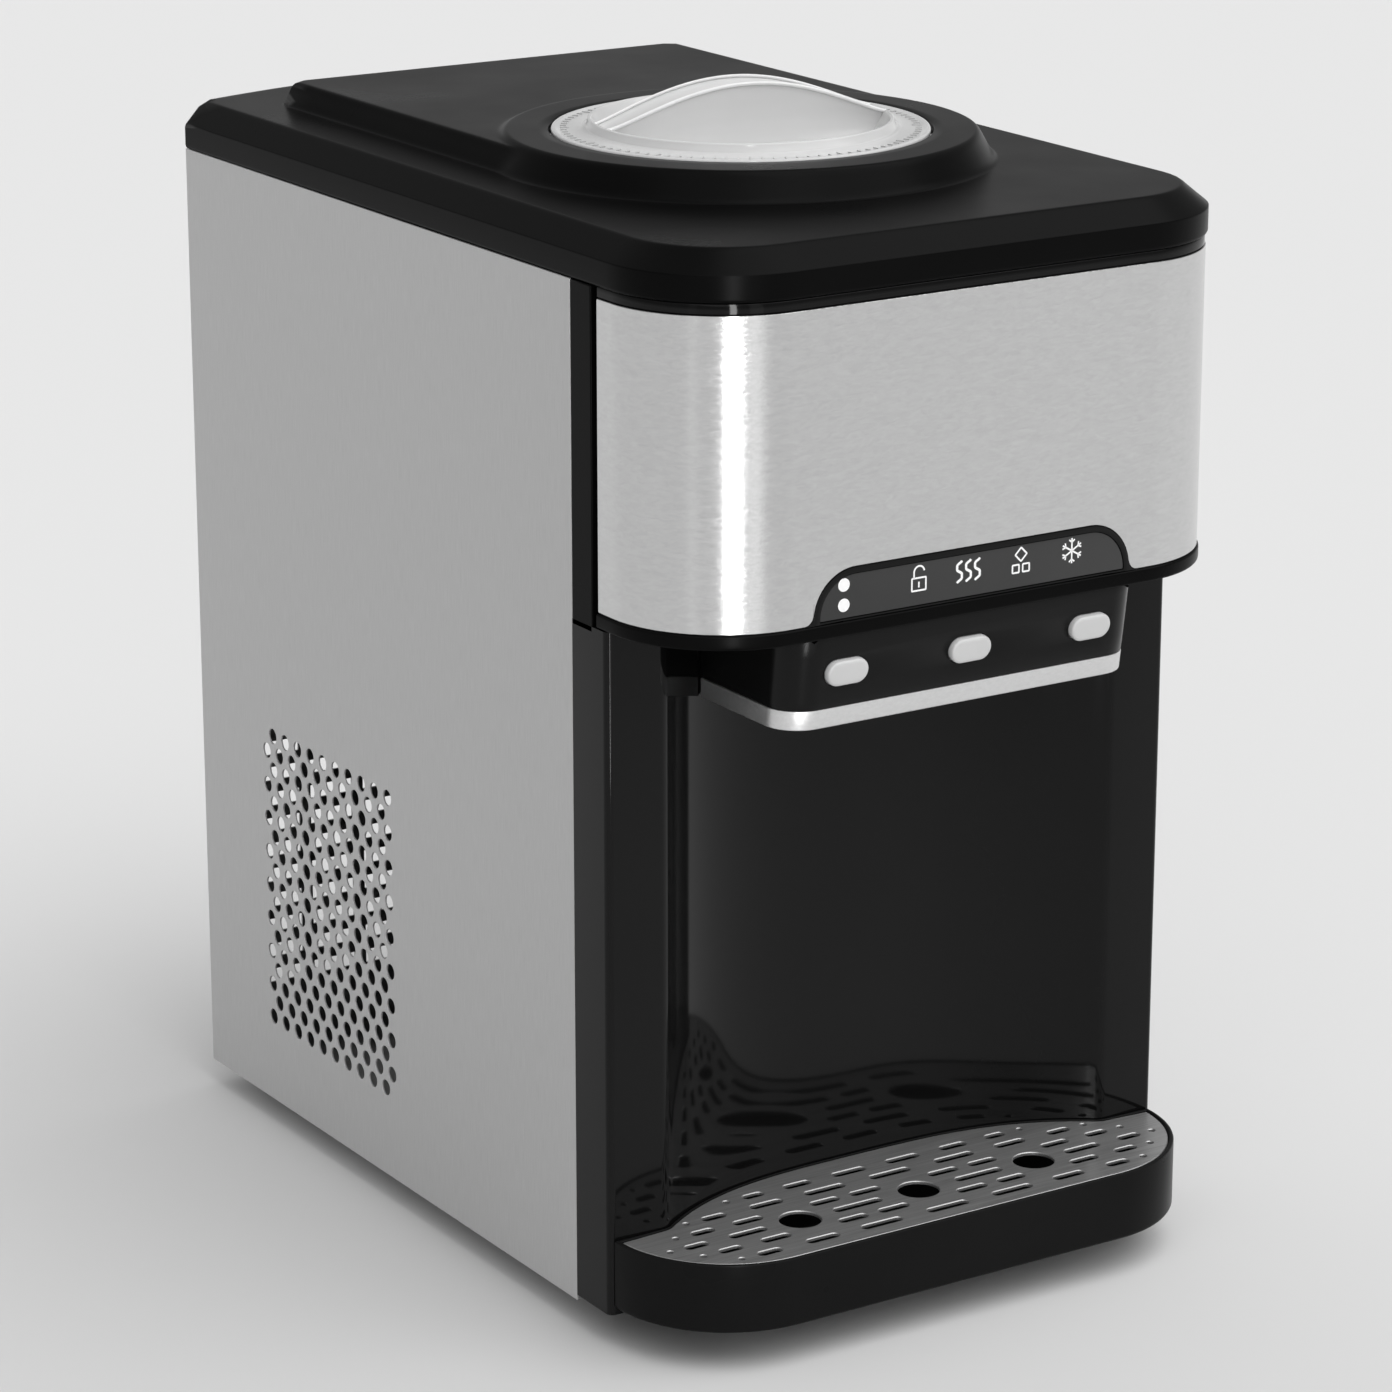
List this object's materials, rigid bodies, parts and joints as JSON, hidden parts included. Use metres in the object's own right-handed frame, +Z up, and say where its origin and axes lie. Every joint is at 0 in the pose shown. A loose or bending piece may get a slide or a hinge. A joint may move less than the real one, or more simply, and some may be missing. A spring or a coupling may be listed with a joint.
{
  "type": "water dispenser with ice maker",
  "caption": "Countertop water dispenser with an ice maker: steel body, curved glossy niche, push buttons, round bottle port lid and a wide drip tray.",
  "frame": {"origin": "on the table, at the centre of the footprint of the whole machine", "axes": "+Z up, -Y out of the front with the buttons and the drip tray, +X to the right of someone facing the front"},
  "size_m": [0.28, 0.4388, 0.5003],
  "materials": {
    "side_steel": "fine brushed grey steel",
    "front_steel": "bright satin steel",
    "grille_steel": "satin steel",
    "zinc_sheet": "zinc-coated sheet",
    "satin_black": "satin",
    "gloss_black": "high gloss",
    "display_window": "smoked window",
    "button_grey": "satin grey",
    "strip_metal": "plated satin strip",
    "lid_plastic": "translucent milky white",
    "white_plastic": "moulded",
    "rubber_black": "matt",
    "silicone_grey": "matt",
    "foam_white": "foam",
    "tank_steel": "plain",
    "copper": "plain copper",
    "aluminium": "plain",
    "board_green": "solder mask",
    "shell_black": "painted"
  },
  "bodies": {
    "machine": {"left_side_panel": "side_steel", "right_side_panel": "side_steel", "back_panel": "zinc_sheet", "lower_left_screw": "tank_steel", "lower_right_screw": "tank_steel", "upper_left_screw": "tank_steel", "upper_right_screw": "tank_steel", "base_pan": "zinc_sheet", "front_left_foot": "rubber_black", "front_right_foot": "rubber_black", "rear_left_foot": "rubber_black", "rear_right_foot": "rubber_black", "front_frame": "gloss_black", "front_housing": "satin_black", "front_steel_panel": "front_steel", "display_bezel": "gloss_black", "display_window": "display_window", "button_housing": "gloss_black", "button_strip": "strip_metal", "spout_plate": "satin_black", "switch_board": "board_green", "ice_chute": "white_plastic", "top_cover": "satin_black", "bottle_port": "white_plastic", "mid_shelf": "zinc_sheet", "ice_bin": "foam_white", "auger_motor": "shell_black", "freezer_frame": "zinc_sheet", "evaporator": "aluminium", "tray_motor": "shell_black", "water_reservoir": "white_plastic", "hot_tank": "tank_steel", "cold_tank": "foam_white", "hot_pump": "shell_black", "cold_pump": "shell_black", "feed_manifold": "white_plastic", "hot_hose": "silicone_grey", "cold_hose": "silicone_grey", "compressor": "shell_black", "condenser": "aluminium", "fan_shroud": "satin_black", "fan_motor": "shell_black", "refrigerant_line": "copper", "discharge_line": "copper", "control_board": "board_green", "service_plate": "satin_black", "power_inlet": "gloss_black"},
    "hot_button": {"hot_button": "button_grey"},
    "ice_button": {"ice_button": "button_grey"},
    "cold_button": {"cold_button": "button_grey"},
    "ice_flap": {"ice_flap": "rubber_black"},
    "drip_tray": {"drip_tray": "satin_black"},
    "drip_grille": {"drip_grille": "grille_steel"},
    "port_lid": {"port_lid": "lid_plastic"},
    "ice_auger": {"ice_auger": "white_plastic"},
    "ice_tray": {"ice_tray": "white_plastic"},
    "reservoir_float": {"reservoir_float": "white_plastic"},
    "fan_blades": {"fan_blades": "shell_black"},
    "heater_switch": {"heater_switch": "gloss_black"},
    "cooler_switch": {"cooler_switch": "gloss_black"}
  },
  "joints": [
    {"name": "hot_button_press", "type": "slide", "parent": "machine", "child": "hot_button", "axis": [0, 0.9903, 0.1392], "range_m": [0, 0.0015], "stiffness_N_per_m": 500, "springref_m": -0.0005},
    {"name": "ice_button_press", "type": "slide", "parent": "machine", "child": "ice_button", "axis": [0, 0.9903, 0.1392], "range_m": [0, 0.0015], "stiffness_N_per_m": 500, "springref_m": -0.0005},
    {"name": "cold_button_press", "type": "slide", "parent": "machine", "child": "cold_button", "axis": [0, 0.9903, 0.1392], "range_m": [0, 0.0015], "stiffness_N_per_m": 500, "springref_m": -0.0005},
    {"name": "ice_flap_swing", "type": "hinge", "parent": "machine", "child": "ice_flap", "pos_m": [0, -0.16255, 0.2713], "axis": [1, 0, 0], "range_deg": [0, 75], "stiffness_Nm_per_rad": 0.01, "springref_deg": -11.46},
    {"name": "drip_tray_pull", "type": "slide", "parent": "machine", "child": "drip_tray", "axis": [0, -1, 0], "range_m": [0, 0.09]},
    {"name": "drip_grille_lift", "type": "slide", "parent": "drip_tray", "child": "drip_grille", "axis": [0, 0, 1], "range_m": [0, 0.03]},
    {"name": "port_lid_lift", "type": "slide", "parent": "machine", "child": "port_lid", "axis": [0, 0, 1], "range_m": [0, 0.06]},
    {"name": "ice_auger_turn", "type": "hinge", "parent": "machine", "child": "ice_auger", "pos_m": [0, -0.12555, 0.312], "axis": [0, 1, 0], "continuous": true},
    {"name": "ice_tray_tip", "type": "hinge", "parent": "machine", "child": "ice_tray", "pos_m": [0, 0.13025, 0.4098], "axis": [1, 0, 0], "range_deg": [0, 80]},
    {"name": "reservoir_float_rise", "type": "slide", "parent": "machine", "child": "reservoir_float", "axis": [0, 0, 1], "range_m": [0, 0.045]},
    {"name": "fan_turn", "type": "hinge", "parent": "machine", "child": "fan_blades", "pos_m": [0.072, 0.02345, 0.0795], "axis": [0, 1, 0], "continuous": true},
    {"name": "heater_switch_rock", "type": "hinge", "parent": "machine", "child": "heater_switch", "pos_m": [0.057, 0.19335, 0.095], "axis": [1, 0, 0], "range_deg": [0, 16]},
    {"name": "cooler_switch_rock", "type": "hinge", "parent": "machine", "child": "cooler_switch", "pos_m": [0.087, 0.19335, 0.095], "axis": [1, 0, 0], "range_deg": [0, 16]}
  ]
}
